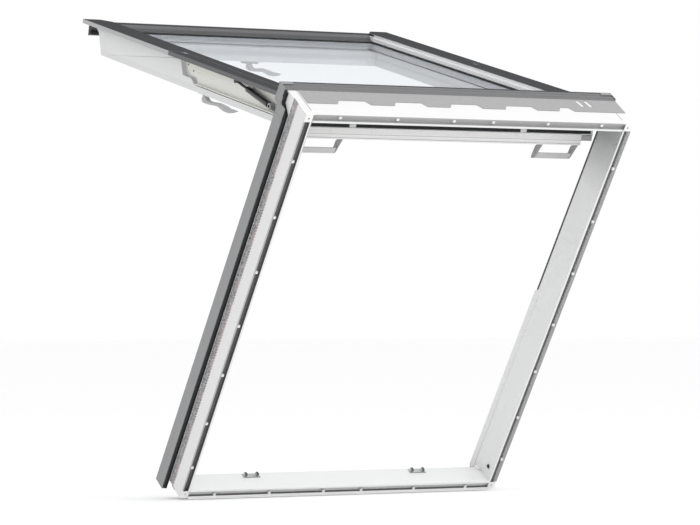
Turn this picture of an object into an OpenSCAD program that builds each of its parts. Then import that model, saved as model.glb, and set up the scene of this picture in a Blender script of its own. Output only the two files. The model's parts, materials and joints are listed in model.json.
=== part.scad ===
// Roof window with a moulded white frame and sash, aluminium covers and a lifting arm
// on each side. The sash is drawn shut in the plane of the frame and then swung open
// about the top hinge. Inside that plane x runs across the window, y runs outwards from
// the room face and z runs up the slope of the roof.

/* [Window] */
// Width over the frame
frame_w = 1140; // [940:10:1340]
// Length of the frame up the slope
frame_l = 1398; // [1178:10:1600]
// Pitch of the roof, measured from level
roof_pitch = 55; // [40:1:65]
// How far the sash stands open
open_angle = 68; // [40:1:68]

/* [Frame] */
// Width of the frame's room face
face_w = 28; // [26:1:32]
// Depth of the side members beside the lifting arms
jamb_depth = 112; // [108:1:114]
// Depth of the side members below the lifting arms
lower_jamb_depth = 128; // [120:1:132]
// Depth of the sill
sill_depth = 78; // [70:1:84]
// How far the side covers stand clear of the frame
cover_gap = 10; // [8:1:12]

/* [Sash] */
// Depth of the white sash profile
sash_depth = 88; // [80:1:92]
// Width of the visible cover at each side of the glass
side_cover_w = 90; // [80:1:100]
// Thickness of each glass pane
pane_t = 4; // [3:0.5:6]
// Length of a handle lever
lever_l = 118; // [90:1:130]

/* [Hidden] */
$fn = 48;
fine = 0.5;
origin_n = 30;

// Heights above the room face
cover_n = 150;
top_n = 165;
frame_top_n = 177;
sash_in_n = cover_n - sash_depth - 1;
pane_out_n = 137;

// The frame's opening and its outline
half_w = frame_w / 2;
open_x = half_w - face_w;
open_lo = face_w;
open_hi = frame_l - face_w;
cover_x = half_w + cover_gap;

// The top hinge and the pivot half way down the sash
hinge_n = cover_n;
hinge_v = frame_l - 38;
pivot_n = cover_n;
pivot_v = frame_l / 2 + 1;

// The sash
sash_x = open_x - 5;
clad_x = half_w + 2;
glass_x = clad_x - side_cover_w;
reveal_x = glass_x - 12;
sash_lo = -27;
sash_hi = hinge_v - 8;
glass_lo = 48;
glass_hi = 1248 + frame_l - 1398;
recess_x = sash_x - 15;
web_x = recess_x + 3;
web_t = 3;
seam_x = web_x - 1;
rib_x = sash_x + 3;
cap_r = 93;
tuck_r = 48;
notch_r = 74;
swing_r = 95;

// The gas strut
strut_anchor = [131, hinge_v - 60];
strut_eye = [142, hinge_v - 352];
strut_x = open_x - 2.5;
tube_r = 9.5;
rod_r = 4;
tube_start = 128;
tube_end = 268;

// ---------------------------------------------------------------- placing

// Turns the plane of the window up to the pitch of the roof
module on_roof() {
    rotate([90 - roof_pitch, 0, 0]) translate([0, -origin_n, 0]) children();
}

// Swings what is drawn shut open about the top hinge
module opened() {
    on_roof() translate([0, hinge_n, hinge_v]) rotate([open_angle, 0, 0])
        translate([0, -hinge_n, -hinge_v]) children();
}

// A block between two opposite corners
module block(a, b) {
    translate(a) cube(b - a);
}

// An outline in [n, v], drawn along x from x0 to x1
module along_x(x0, x1) {
    translate([x0, 0, 0]) rotate([90, 0, 90]) linear_extrude(x1 - x0) children();
}

// An outline in [x, n], drawn up the slope from v0 to v1
module along_v(v0, v1) {
    translate([0, 0, v0]) linear_extrude(v1 - v0) children();
}

// An outline in [x, v], drawn outwards from n0 to n1
module along_n(n0, n1) {
    translate([0, n1, 0]) rotate([90, 0, 0]) linear_extrude(n1 - n0) children();
}

// A round bar across the window
module bar_x(x0, x1, n, v, r) {
    translate([x0, n, v]) rotate([0, 90, 0]) cylinder(h = x1 - x0, r = r);
}

// A round bar standing out from the room
module bar_n(n0, n1, x, v, r) {
    translate([x, n0, v]) rotate([-90, 0, 0]) cylinder(h = n1 - n0, r = r);
}

// The same shape on the side given by s, 1 for the right and -1 for the left
module side(s) {
    if (s > 0) children();
    else mirror([1, 0, 0]) children();
}

// ---------------------------------------------------------------- frame

sheet = 1.2;
groove_out = 5;
groove_in = 21;
groove_depth = 10;
rim_lip = 3;
side_lip_n = 3;
sill_lip_n = 9;
corner_l = 26;
band_lo = 60;
band_hi = 86;
band_deep = 1.5;
lower_top_v = pivot_v + 8;
sill_step = 20;

module outline(inset) {
    polygon([[-half_w + inset, inset], [half_w - inset, inset],
             [half_w - inset, frame_l - inset], [-half_w + inset, frame_l - inset]]);
}

module frame_ring() {
    color("white") on_roof() difference() {
        union() {
            along_n(0, jamb_depth) outline(0);
            for (s = [1, -1]) side(s)
                along_x(open_x, half_w)
                    polygon([[jamb_depth - 1, 0], [lower_jamb_depth, 0],
                             [lower_jamb_depth, lower_top_v - 16], [jamb_depth - 1, lower_top_v]]);
            block([-open_x - 1, jamb_depth - 1, open_hi], [open_x + 1, 126, frame_l]);
            for (s = [1, -1]) side(s) {
                block([half_w - 16, jamb_depth - 1, hinge_v - 14], [half_w, 134, frame_l]);
                block([half_w - 33, jamb_depth - 1, frame_l - 12], [half_w, 134, frame_l]);
                block([half_w - rim_lip, -side_lip_n, corner_l], [half_w, 1, frame_l - corner_l]);
            }
            block([corner_l - half_w, -sill_lip_n, 0], [half_w - corner_l, 1, rim_lip]);
        }
        block([-open_x, -1, open_lo], [open_x, 140, open_hi]);
        block([-open_x, sill_depth, open_lo - sill_step - sheet], [open_x, 140, open_lo + 1]);
        block([-open_x, 103, -1], [open_x, 140, open_lo]);
        along_n(-1, groove_depth) difference() {
            outline(groove_out);
            outline(groove_in);
        }
        for (s = [1, -1]) side(s)
            block([half_w - band_deep, band_lo, -1], [half_w + 1, band_hi, frame_l + 1]);
        for (s = [1, -1]) side(s)
            block([open_x - 1, 100, open_lo - 30], [open_x + 1.5, 102.5, lower_top_v - 12]);
        bar_x(open_x - 1, open_x + 18, 30, 67, 7);
        for (x = [-508, 529]) block([x - 46, 29, frame_l - 1], [x + 46, 31.5, frame_l + 1]);
    }
}

// Black rubber strips down both sides, between the frame and its covers
module frame_gaskets() {
    color([0.13, 0.14, 0.15]) on_roof() for (s = [1, -1]) side(s) {
        block([half_w, 88, -30], [cover_x - 1.6, 99, frame_l - 60]);
        along_x(half_w, cover_x - 1.6)
            polygon([[88, frame_l - 60], [99, frame_l - 60], [134, frame_l - 44],
                     [134, frame_l - 6], [123, frame_l - 6], [123, frame_l - 38]]);
    }
}

flange_lo = 100;
cap_v = frame_l - 83;
cap_n = 172;
cap_end = frame_l + 5.4;
lip_x = open_x + 23;

// Folded aluminium angle along one side of the frame
module side_cover(s) {
    color([0.56, 0.56, 0.57]) on_roof() side(s)
        along_v(-39, cap_v)
            polygon([[half_w + 1, flange_lo], [cover_x, flange_lo], [cover_x, cover_n],
                     [lip_x, cover_n], [lip_x, cover_n - 10],
                     [lip_x + sheet, cover_n - 10], [lip_x + sheet, cover_n - sheet],
                     [cover_x - sheet, cover_n - sheet], [cover_x - sheet, flange_lo + sheet],
                     [half_w + 1, flange_lo + sheet]]);
}

module side_cover_left() { side_cover(-1); }
module side_cover_right() { side_cover(1); }

// Folded cap that closes the top corner and covers the hinge
module corner_cap(s) {
    color([0.56, 0.56, 0.57]) on_roof() side(s) union() {
        along_x(cover_x - 1.5, cover_x)
            polygon([[flange_lo, cap_v + fine], [cover_n - 1, cap_v + fine],
                     [cover_n + 1, hinge_v - 19], [cap_n - 3, hinge_v - 19], [cap_n, hinge_v - 14],
                     [cap_n, cap_end], [135, cap_end], [135, frame_l - 46],
                     [flange_lo, frame_l - 46]]);
        block([half_w - 30, 158, cap_end - sheet], [cover_x, cap_n, cap_end]);
    }
}

module corner_cap_left() { corner_cap(-1); }
module corner_cap_right() { corner_cap(1); }

// Folded cover along the top edge, with two ribs on its outer wall
module top_cover() {
    v = frame_l;
    color([0.56, 0.56, 0.57]) on_roof() along_x(1.5 - cover_x, cover_x - 1.5)
        polygon([[131, v + 1.8], [142, v + 1.8], [144, v + 4], [150, v + 4], [152, v + 1.8],
                 [158, v + 1.8], [160, v + 4], [167, v + 4], [169, v + 1.8],
                 [frame_top_n - 2, v + 3], [frame_top_n, v + 1], [frame_top_n, hinge_v + 12],
                 [frame_top_n - 2, hinge_v + 10], [frame_top_n - 2, v - 1],
                 [169, v + 0.3], [131, v + 0.3]]);
}

cut_pitch = 193;
cut_w = 116;
cut_slope = 14;

// Galvanised sheet screwed to the top end, with a row of tapered cut-outs
module top_plate() {
    color([0.74, 0.74, 0.74]) on_roof() difference() {
        union() {
            block([-half_w + 33, 62, frame_l], [cover_x - 3, 131, frame_l + sheet]);
            block([-half_w + 34, 126.2, frame_l - 14], [half_w - 34, 130, frame_l + fine]);
        }
        for (i = [0:4]) {
            x = -437 + i * cut_pitch;
            w = i < 4 ? cut_w : cut_w / 2;
            along_v(frame_l - fine, frame_l + 3)
                polygon([[x, 61], [x + w, 61], [x + w - cut_slope, 82], [x + cut_slope, 82]]);
        }
        for (x = [432, 462]) along_v(frame_l - fine, frame_l + 3)
            polygon([[x, 92], [x + 12, 92], [x + 4, 124], [x - 8, 124]]);
    }
}

// Folded cover that throws water clear of the sill
module bottom_cover() {
    color([0.45, 0.45, 0.46]) on_roof() along_x(-open_x + 2, open_x - 2)
        polygon([[sill_depth + 4, open_lo - sill_step], [104, open_lo - sill_step],
                 [107, -8], [110, -39], [90, -39], [90, -39 + sheet], [108.7, -39 + sheet],
                 [105.8, -8.2], [103.2, open_lo - sill_step - sheet],
                 [sill_depth + 4, open_lo - sill_step - sheet]]);
}

clip_l = 8;
clip_in = 13;
clip_steps = [0.08, 0.2, 0.33, 0.46, 0.6, 0.74, 0.88];

// Small plastic clips that bridge the lining groove on all four sides
module lining_clips() {
    color([0.96, 0.96, 0.96]) on_roof() {
        for (k = clip_steps) for (s = [1, -1]) side(s)
            block([half_w - clip_in, 0, k * frame_l], [half_w - groove_out, 6, k * frame_l + clip_l]);
        for (k = [-0.4, -0.23, -0.06, 0.06, 0.23, 0.4]) {
            block([k * frame_w, 0, frame_l - clip_in],
                  [k * frame_w + clip_l, 6, frame_l - groove_out]);
            block([k * frame_w, 0, groove_out], [k * frame_w + clip_l, 6, clip_in]);
        }
    }
}

screw_in = 14;

// Moulded plates that close the groove at the four corners, each with a screw hole. The
// top two are folded over the end of the frame.
module corner_blocks() {
    color([0.9, 0.9, 0.89]) on_roof() for (s = [1, -1]) side(s) {
        for (v = [0, frame_l]) mirror([0, 0, v > 0 ? 1 : 0])
            translate([half_w, 0, v > 0 ? -v : 0]) difference() {
                along_n(-1, 0) polygon([[-corner_l, 0], [0, 0], [0, corner_l], [-22, corner_l],
                                        [-22, 22], [-corner_l, 22]]);
                bar_n(-2, 1, -screw_in, screw_in, 2.6);
            }
        block([half_w - corner_l - 6, -1, frame_l - fine], [half_w, 0, frame_l + 1]);
        block([half_w - corner_l - 6, -fine, frame_l], [half_w, 20, frame_l + 1]);
    }
}

module corner_screws() {
    color([0.3, 0.3, 0.3]) on_roof() for (s = [1, -1]) side(s)
        for (v = [screw_in, frame_l - screw_in])
            bar_n(4, groove_depth, half_w - screw_in, v, 3);
}

// Two keeps on the sill that the lock bolts pass into
module strikers() {
    color([0.25, 0.25, 0.26]) on_roof() for (s = [1, -1]) side(s) difference() {
        union() {
            block([272, 56, open_lo], [332, 74, open_lo + 2]);
            block([278, 60, open_lo + fine], [286, 71, open_lo + 11]);
            block([318, 60, open_lo + fine], [326, 71, open_lo + 11]);
        }
        for (x = [282, 322]) bar_n(50, 80, x, open_lo + 7, 2.2);
    }
}

// Steel bush for the cleaning bolt, and its small catch on the sill
module bolt_bush() {
    color([0.45, 0.45, 0.45]) on_roof() difference() {
        bar_x(open_x - 1.5, open_x + 16, 30, 67, 7);
        bar_x(open_x - 2, open_x + 14, 30, 67, 4.5);
    }
}

module bolt_catch() {
    color([0.8, 0.8, 0.8]) on_roof() difference() {
        block([open_x - 16, 58, open_lo], [open_x, 76, open_lo + 10]);
        bar_n(56, 80, open_x - 8, open_lo + 6, 2.5);
    }
}

// Pale clips that hold the seal under the top member
module top_seal_clips() {
    color([0.85, 0.85, 0.85]) on_roof() for (x = [-330, 270])
        block([x, 100, open_hi - 3], [x + 22, 118, open_hi]);
}

// Steel bracket on the outer face of the frame that carries the hinge pin
module hinge_bracket(s) {
    color([0.7, 0.7, 0.72]) on_roof() side(s) difference() {
        union() {
            block([open_x + 1.5, jamb_depth, hinge_v - 38], [open_x + 11.5, jamb_depth + 3, frame_l - 13]);
            along_x(open_x + 2, open_x + 8) {
                translate([hinge_n, hinge_v]) circle(r = 9.5);
                polygon([[jamb_depth + 1, hinge_v - 22], [jamb_depth + 1, hinge_v + 22],
                         [hinge_n + 2, hinge_v + 9.2], [hinge_n + 2, hinge_v - 9.2]]);
            }
        }
        bar_x(open_x, open_x + 30, hinge_n, hinge_v, 5.05);
    }
}

module hinge_bracket_left() { hinge_bracket(-1); }
module hinge_bracket_right() { hinge_bracket(1); }

// Steel pin through the bracket and the arm
module hinge_pin(s) {
    color([0.6, 0.6, 0.62]) on_roof() side(s) {
        bar_x(web_x - fine, open_x + 9, hinge_n, hinge_v, 5);
        bar_x(open_x + 8.2, open_x + 11, hinge_n, hinge_v, 8);
    }
}

module hinge_pin_left() { hinge_pin(-1); }
module hinge_pin_right() { hinge_pin(1); }

// Black steel bracket on the jamb, with the stud that the gas strut turns on
module strut_bracket(s) {
    color([0.16, 0.17, 0.18]) on_roof() side(s) {
        block([open_x + 1, jamb_depth, hinge_v - 131], [open_x + 16, jamb_depth + 3, hinge_v - 40]);
        block([open_x + 12, jamb_depth + fine, strut_anchor[1] - 14],
              [open_x + 16, strut_anchor[0] + 9, strut_anchor[1] + 14]);
        bar_x(strut_x, open_x + 14, strut_anchor[0], strut_anchor[1], 4);
    }
}

module strut_bracket_left() { strut_bracket(-1); }
module strut_bracket_right() { strut_bracket(1); }

// ---------------------------------------------------------------- lifting arms

tail_r = 46;

// Outline of one arm in [n, v], from the eye at the hinge to the round tail at the pivot
module arm_outline() {
    difference() {
        union() {
            polygon([[pivot_n - 2, pivot_v], [pivot_n - 2, hinge_v - 13],
                     [pivot_n - 12, hinge_v - 13], [sash_in_n + 23, hinge_v - 60],
                     [sash_in_n + 23, pivot_v + 44], [pivot_n - tail_r, pivot_v + 30],
                     [pivot_n - tail_r, pivot_v]]);
            intersection() {
                translate([pivot_n, pivot_v]) circle(r = tail_r, $fn = 96);
                polygon([[pivot_n - 2, pivot_v + 1], [pivot_n - 2, pivot_v - 60],
                         [pivot_n - 60, pivot_v - 60], [pivot_n - 60, pivot_v + 1]]);
            }
            translate([pivot_n, pivot_v]) circle(r = 10);
            translate([hinge_n, hinge_v]) circle(r = 12);
            polygon([[hinge_n - 12, hinge_v], [hinge_n, hinge_v - 12], [hinge_n - 2, hinge_v - 30],
                     [hinge_n - 24, hinge_v - 30]]);
        }
        translate([hinge_n, hinge_v]) circle(r = 5.05);
        translate([pivot_n, pivot_v]) circle(r = 6);
    }
}

// Pressed steel arm: a flat web with a rib turned out along its lower edge
module arm(s) {
    rib_n = sash_in_n + 23;
    color([0.87, 0.87, 0.85]) opened() side(s) {
        along_x(web_x, web_x + web_t) arm_outline();
        block([web_x + 1, rib_n, pivot_v + 46], [rib_x, rib_n + 3, hinge_v - 62]);
        bar_x(web_x + 1, strut_x - 4.3, strut_eye[0], strut_eye[1], 5);
    }
}

module arm_left() { arm(-1); }
module arm_right() { arm(1); }

// Plate riveted over the tail of the arm, with the pivot's screw holes
module pivot_plate(s) {
    color([0.8, 0.8, 0.77]) opened() side(s) difference() {
        along_x(web_x + web_t, web_x + web_t + 1.6)
            polygon([[pivot_n - 3, pivot_v - 40], [pivot_n - 3, pivot_v + 190],
                     [pivot_n - 20, pivot_v + 190], [pivot_n - 34, pivot_v + 120],
                     [pivot_n - 40, pivot_v + 10], [pivot_n - 24, pivot_v - 36]]);
        for (p = [[-16, -30], [-8, 46], [-30, 8], [-30, 40]])
            bar_x(web_x + 2, web_x + 6, pivot_n + p[0], pivot_v + p[1], 2.6);
    }
}

module pivot_plate_left() { pivot_plate(-1); }
module pivot_plate_right() { pivot_plate(1); }

// Steel pin that the sash turns on when it is cleaned
module pivot_pin(s) {
    color([0.6, 0.6, 0.62]) opened() side(s)
        bar_x(recess_x - 32, web_x + web_t, pivot_n, pivot_v, 5.95);
}

module pivot_pin_left() { pivot_pin(-1); }
module pivot_pin_right() { pivot_pin(1); }

// Aluminium cover over the arm, in line with the cover on the sash. It is narrower
// below the pivot, so that the side of the sash can turn past it.
module arm_cover(s) {
    color([0.32, 0.33, 0.34]) opened() side(s) union() {
        along_v(pivot_v - cap_r, hinge_v - 15)
            polygon([[sash_x + 1.6, top_n - sheet], [sash_x + 1.6, top_n], [clad_x, top_n],
                     [clad_x, cover_n + 1.5], [clad_x - sheet, cover_n + 1.5],
                     [clad_x - sheet, top_n - sheet]]);
        along_v(pivot_v - tuck_r, hinge_v - 15)
            polygon([[seam_x + 0.6, cover_n + 11], [seam_x + 0.6, top_n], [sash_x + 3, top_n],
                     [sash_x + 3, top_n - sheet], [seam_x + 0.6 + sheet, top_n - sheet],
                     [seam_x + 0.6 + sheet, cover_n + 11]]);
    }
}

module arm_cover_left() { arm_cover(-1); }
module arm_cover_right() { arm_cover(1); }

// Brackets and screws that hold the cover on the arm
module arm_screws() {
    color([0.35, 0.35, 0.35]) opened() for (s = [1, -1]) side(s) {
        for (v = [pivot_v + 40, pivot_v + 200, hinge_v - 78]) {
            block([web_x + web_t, pivot_n - 3, v], [sash_x + 9, pivot_n, v + 30]);
            block([sash_x + 5, pivot_n - fine, v], [sash_x + 9, top_n - sheet, v + 30]);
        }
        for (p = [[-16, -30], [-8, 46], [-30, 8]])
            bar_x(web_x + web_t, web_x + web_t + 3, pivot_n + p[0], pivot_v + p[1], 2.4);
    }
}

// ---------------------------------------------------------------- gas struts

strut_open = [for (p = [strut_eye - [hinge_n, hinge_v]])
    [hinge_n + p[0] * cos(open_angle) - p[1] * sin(open_angle),
     hinge_v + p[0] * sin(open_angle) + p[1] * cos(open_angle)]][0];
strut_dir = strut_open - strut_anchor;
strut_len = norm(strut_dir);
strut_turn = atan2(strut_dir[1], strut_dir[0]);

// Lays out what is drawn along +x from the strut's anchor
module strut_place(s) {
    on_roof() side(s) translate([strut_x, strut_anchor[0], strut_anchor[1]])
        rotate([strut_turn, 0, 0]) rotate([0, 0, 90]) children();
}

// Black tube with a steel end link that turns on the frame's stud
module strut_tube(s) {
    color([0.16, 0.17, 0.17]) strut_place(s) difference() {
        union() {
            translate([tube_start, 0, 0]) rotate([0, 90, 0]) cylinder(h = tube_end - tube_start, r = tube_r);
            translate([0, -6, -5]) cube([tube_start + 4, 5, 10]);
            translate([0, -1, 0]) rotate([90, 0, 0]) cylinder(h = 5, r = 8);
            translate([tube_start - 14, 7, 0]) rotate([90, 0, 0]) cylinder(h = 14, r = 10);
        }
        translate([0, 2, 0]) rotate([90, 0, 0]) cylinder(h = 20, r = 4.05);
        translate([tube_start - 14, 12, 0]) rotate([90, 0, 0]) cylinder(h = 24, r = 5);
        translate([tube_start + 20, 0, 0]) rotate([0, 90, 0]) cylinder(h = 160, r = rod_r + 0.05);
    }
}

module strut_tube_left() { strut_tube(-1); }
module strut_tube_right() { strut_tube(1); }

// Thin rod that slides out of the tube, with a round eye over the arm's stud
module strut_rod(s) {
    color([0.2, 0.2, 0.2]) strut_place(s) union() {
        translate([tube_end - 50, 0, 0]) rotate([0, 90, 0])
            cylinder(h = strut_len - tube_end + 44, r = rod_r);
        translate([strut_len, 3.5, 0]) rotate([90, 0, 0]) cylinder(h = 7, r = 8);
    }
}

module strut_rod_left() { strut_rod(-1); }
module strut_rod_right() { strut_rod(1); }

// ---------------------------------------------------------------- sash

stile_n = cover_n - 1;
foot_v = 60;
rebate_x = glass_x + 4;

// Section of the sash's end, which slopes back towards the sill
module sash_side_outline() {
    polygon([[sash_in_n + 2, foot_v], [sash_in_n, foot_v + 2], [sash_in_n, sash_hi], [stile_n, sash_hi],
             [stile_n, -6], [132, 27]]);
}

// Room for the lifting arm in the side of the sash, in [n, v]
module recess_outline() {
    polygon([[stile_n + 8, pivot_v - 75], [stile_n - 4, pivot_v - 75], [stile_n - 46, pivot_v - 51],
             [stile_n - 51, pivot_v - 46], [stile_n - 52, pivot_v + 10], [stile_n - 66, pivot_v + 32],
             [sash_in_n + 19, pivot_v + 50], [sash_in_n + 19, sash_hi + 1], [stile_n + 8, sash_hi + 1]]);
}

module sash_ring() {
    color("white") opened() difference() {
        union() {
            along_x(-sash_x, sash_x) sash_side_outline();
            along_n(stile_n - 1, stile_n + 7)
                polygon([[-recess_x, -2], [recess_x, -2], [recess_x, sash_hi], [-recess_x, sash_hi]]);
        }
        along_n(0, 200)
            polygon([[-reveal_x, glass_lo + 52], [reveal_x, glass_lo + 52],
                     [reveal_x, glass_hi - 12], [-reveal_x, glass_hi - 12]]);
        block([-rebate_x, 108, glass_lo - 4], [rebate_x, 200, glass_hi + 4]);
        for (s = [1, -1]) side(s) {
            along_x(recess_x, sash_x + 1) recess_outline();
            bar_x(recess_x - 34, recess_x + 1, pivot_n, pivot_v, 10);
            translate([bolt_x, bolt_n, 40]) cylinder(h = 52, r = bolt_r + 0.05);
        }
        along_x(-glass_x, glass_x)
            polygon([[141.5, 47], [141.5, 32.5], [148.6, 30.5], [156.2, 13], [160, 13], [160, 47]]);
    }
}

pane_inset = 1;

module pane(n0) {
    block([-rebate_x + pane_inset, n0, glass_lo - 4 + pane_inset],
          [rebate_x - pane_inset, n0 + pane_t, glass_hi + 4 - pane_inset]);
}

module outer_pane() {
    color([0.93, 0.95, 0.96, 0.3]) opened() pane(pane_out_n - pane_t);
}

module inner_pane() {
    color([0.93, 0.95, 0.96, 0.3]) opened() pane(109);
}

// Warm-edge bar that keeps the two panes apart
module pane_spacer() {
    color([0.3, 0.31, 0.32]) opened() along_n(109 + pane_t, pane_out_n - pane_t) difference() {
        pane_edge(3);
        pane_edge(13);
    }
}

module pane_edge(inset) {
    x = rebate_x - pane_inset - inset;
    lo = glass_lo - 4 + pane_inset + inset;
    hi = glass_hi + 4 - pane_inset - inset;
    polygon([[-x, lo], [x, lo], [x, hi], [-x, hi]]);
}

// Rubber that seals the covers to the outer pane
module glazing_gasket() {
    color([0.22, 0.23, 0.24]) opened() along_n(pane_out_n, pane_out_n + 4) difference() {
        pane_edge(3);
        pane_edge(14);
    }
}

// Aluminium profiles that clamp the glass from outside, stepping up to the side covers
module glazing_profiles() {
    color([0.85, 0.86, 0.87]) opened() for (s = [1, -1]) side(s)
        along_v(glass_lo - 1, glass_hi - 2)
            polygon([[glass_x - 2, 141], [glass_x, 141], [glass_x, 152], [glass_x + 2.5, 154],
                     [glass_x + 2.5, top_n - 1.5], [glass_x + 1, top_n - 1.5],
                     [glass_x + 1, 154.6], [glass_x - 1.5, 152.6], [glass_x - 1.5, 142.5],
                     [glass_x - 2, 142.5]]);
}

// Cover along one side of the sash: over the frame's cover below the pivot, and only
// as wide as the sash beside the arm
module sash_cover(s) {
    corner_v = 13;
    color([0.32, 0.33, 0.34]) opened() side(s) union() {
        along_n(top_n - sheet, top_n)
            polygon([[glass_x, corner_v], [glass_x + 27, sash_lo], [clad_x, sash_lo],
                     [clad_x, pivot_v - swing_r], [sash_x + 1, pivot_v - swing_r],
                     [sash_x + 1, pivot_v - notch_r], [seam_x, pivot_v - notch_r],
                     [seam_x, sash_hi + 8], [glass_x, sash_hi + 8]]);
        along_v(sash_lo, pivot_v - swing_r)
            polygon([[clad_x - sheet, top_n - fine], [clad_x, top_n - fine],
                     [clad_x, cover_n + 1.5], [clad_x - sheet, cover_n + 1.5]]);
        along_v(pivot_v - swing_r, sash_hi + 8)
            polygon([[seam_x - sheet, top_n - fine], [seam_x, top_n - fine],
                     [seam_x, cover_n + 7], [seam_x - sheet, cover_n + 7]]);
    }
}

module sash_cover_left() { sash_cover(-1); }
module sash_cover_right() { sash_cover(1); }

// Cover along the bottom of the sash, with a drip turned down in front of the sill
module sash_cover_bottom() {
    color([0.36, 0.37, 0.38]) opened() {
        along_x(-open_x - 6, open_x + 6)
            polygon([[112, sash_lo + 0.5], [112, sash_lo - 0.7], [158, sash_lo - 0.7], [158, 13],
                     [158 - sheet, 13], [158 - sheet, sash_lo + 0.5]]);
        along_x(2.5 - glass_x, glass_x - 2.5)
            polygon([[158, 12], [158, 14], [150, 32], [143, 34], [143, 46], [141.8, 46],
                     [141.8, 33], [149, 31], [156.8, 13.5], [156.8, 12]]);
    }
}

// Rubber lip inside the drip, against the frame's bottom cover
module drip_gasket() {
    color([0.13, 0.14, 0.15]) opened() block([-540, 118, sash_lo + 0.5], [540, 128, sash_lo + 8]);
}

// Cover along the top of the sash, tucked under the frame's top cover
module sash_cover_top() {
    color([0.32, 0.33, 0.34]) opened() along_x(2.5 - glass_x, glass_x - 2.5)
        polygon([[141, glass_hi - 13], [142.2, glass_hi - 13], [160, glass_hi + 2],
                 [163, sash_hi + 8], [157, sash_hi + 8], [157, sash_hi + 6.8], [161.6, sash_hi + 6.8],
                 [159, glass_hi + 2.6], [141, glass_hi - 11.6]]);
}

// Plain bush with a friction spring that the cleaning pivot turns in
module pivot_bush(s) {
    color([0.75, 0.65, 0.4]) opened() side(s) difference() {
        bar_x(recess_x - 30, recess_x, pivot_n, pivot_v, 10);
        bar_x(recess_x - 34, recess_x + 1, pivot_n, pivot_v, 6);
    }
}

module pivot_bush_left() { pivot_bush(-1); }
module pivot_bush_right() { pivot_bush(1); }

// Brush seal across the top of the sash
module vent_seal() {
    color([0.1, 0.1, 0.1]) opened() block([11 - sash_x, 68, sash_hi], [sash_x - 11, 77, sash_hi + 4]);
}

// ---------------------------------------------------------------- ventilation flap

flap_hi = sash_hi - 4;
flap_x = 496;
flap_in_n = 30;
flap_gap = 1;
flap_face = sash_hi + 0.6;
flap_skin = 2;
flap_top_n = 66;

// Moulded blocks that carry the ends of the flap under the top of the sash
module vent_end_blocks() {
    color([0.74, 0.74, 0.74]) opened() for (s = [1, -1]) side(s) difference() {
        union() {
            block([flap_x + 2, 46, flap_hi - 34], [534, sash_in_n, flap_face + flap_skin]);
            block([flap_x + 2, 46, flap_face], [534, flap_top_n - 3, flap_face + flap_skin]);
        }
        bar_x(flap_x, flap_x + 12, sash_in_n - 8, flap_hi - 26, 3.05);
    }
}

// Flap that shuts the air way above the glass and carries the pull loops
module vent_flap() {
    color([0.9, 0.9, 0.89]) opened() {
        difference() {
            along_x(-flap_x, flap_x)
                polygon([[sash_in_n - 6, flap_hi - 34], [sash_in_n - flap_gap, flap_hi - 26],
                         [sash_in_n - flap_gap, flap_face], [flap_top_n, flap_face],
                         [flap_top_n, flap_face + flap_skin], [44, flap_face + flap_skin],
                         [42, flap_face], [33, flap_face], [flap_in_n, flap_face - 4],
                         [flap_in_n, flap_hi - 26], [40, flap_hi - 34]]);
            for (s = [1, -1]) side(s) for (x = [330, 480])
                block([x + 6, flap_in_n - 1, flap_hi - 22], [x + 8, flap_in_n + 3, flap_hi - 10]);
        }
        for (s = [1, -1]) side(s) bar_x(flap_x - 4, flap_x + 8, sash_in_n - 8, flap_hi - 26, 3);
    }
}

loop_at = [-472, 362];
loop_w = 134;
loop_reach = 52;

// Two stirrup-shaped grips under the flap
module pull_loops() {
    color([0.72, 0.72, 0.72]) opened() for (left = loop_at) {
        for (x = [left, left + loop_w - 5]) along_x(x, x + 5)
            polygon([[flap_in_n, flap_hi - 6], [flap_in_n, flap_hi - 26],
                     [flap_in_n - 12, flap_hi - 44], [flap_in_n - loop_reach, flap_hi - 62],
                     [flap_in_n - loop_reach, flap_hi - 50], [flap_in_n - loop_reach + 6, flap_hi - 42]]);
        along_x(left + 4, left + loop_w - 4)
            polygon([[flap_in_n - loop_reach + 5, flap_hi - 43], [flap_in_n - loop_reach, flap_hi - 50],
                     [flap_in_n - loop_reach, flap_hi - 62], [flap_in_n - loop_reach + 3, flap_hi - 62],
                     [flap_in_n - loop_reach + 3.5, flap_hi - 51],
                     [flap_in_n - loop_reach + 21, flap_hi - 36],
                     [flap_in_n - loop_reach + 20, flap_hi - 33]]);
    }
}

// Round caps over the flap's screws
module vent_caps() {
    color([0.85, 0.85, 0.84]) opened() for (x = [-384, -243, -75, 92, 266, 399])
        translate([x, 56, flap_face + flap_skin]) cylinder(h = 0.8, r = 8);
}

// ---------------------------------------------------------------- lock and handles

lock_v = 80;
plate_t = 1.5;
bolt_x = 302;
bolt_n = 72;
bolt_r = 4.95;
neck_r = 8;
lever_w = 20;
side_handle_at = [-505, pivot_v + 58];
side_handle_turn = 60;

// Steel face plate of the lock gear, under the bottom handle
module lock_case() {
    color([0.6, 0.6, 0.61]) opened() difference() {
        block([-46, sash_in_n - plate_t, lock_v - 14], [46, sash_in_n, lock_v + 14]);
        bar_n(sash_in_n - 3, sash_in_n + 1, 0, lock_v, neck_r + 0.05);
    }
}

// Two steel bolts that slide out of the foot of the sash into the keeps
module lock_bolts() {
    color([0.6, 0.6, 0.62]) opened() for (s = [1, -1]) side(s)
        translate([bolt_x, bolt_n, foot_v]) cylinder(h = 30, r = bolt_r);
}

// Rounded plate with the hole that a handle's neck turns in
module neck_plate(n1, tilt) {
    difference() {
        along_n(n1 - 7, n1) rotate(tilt) {
            square([40, 24], center = true);
            for (x = [-20, 20]) translate([x, 0]) circle(r = 12);
        }
        bar_n(n1 - 8, n1 + 1, 0, 0, neck_r + 0.05);
    }
}

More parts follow.
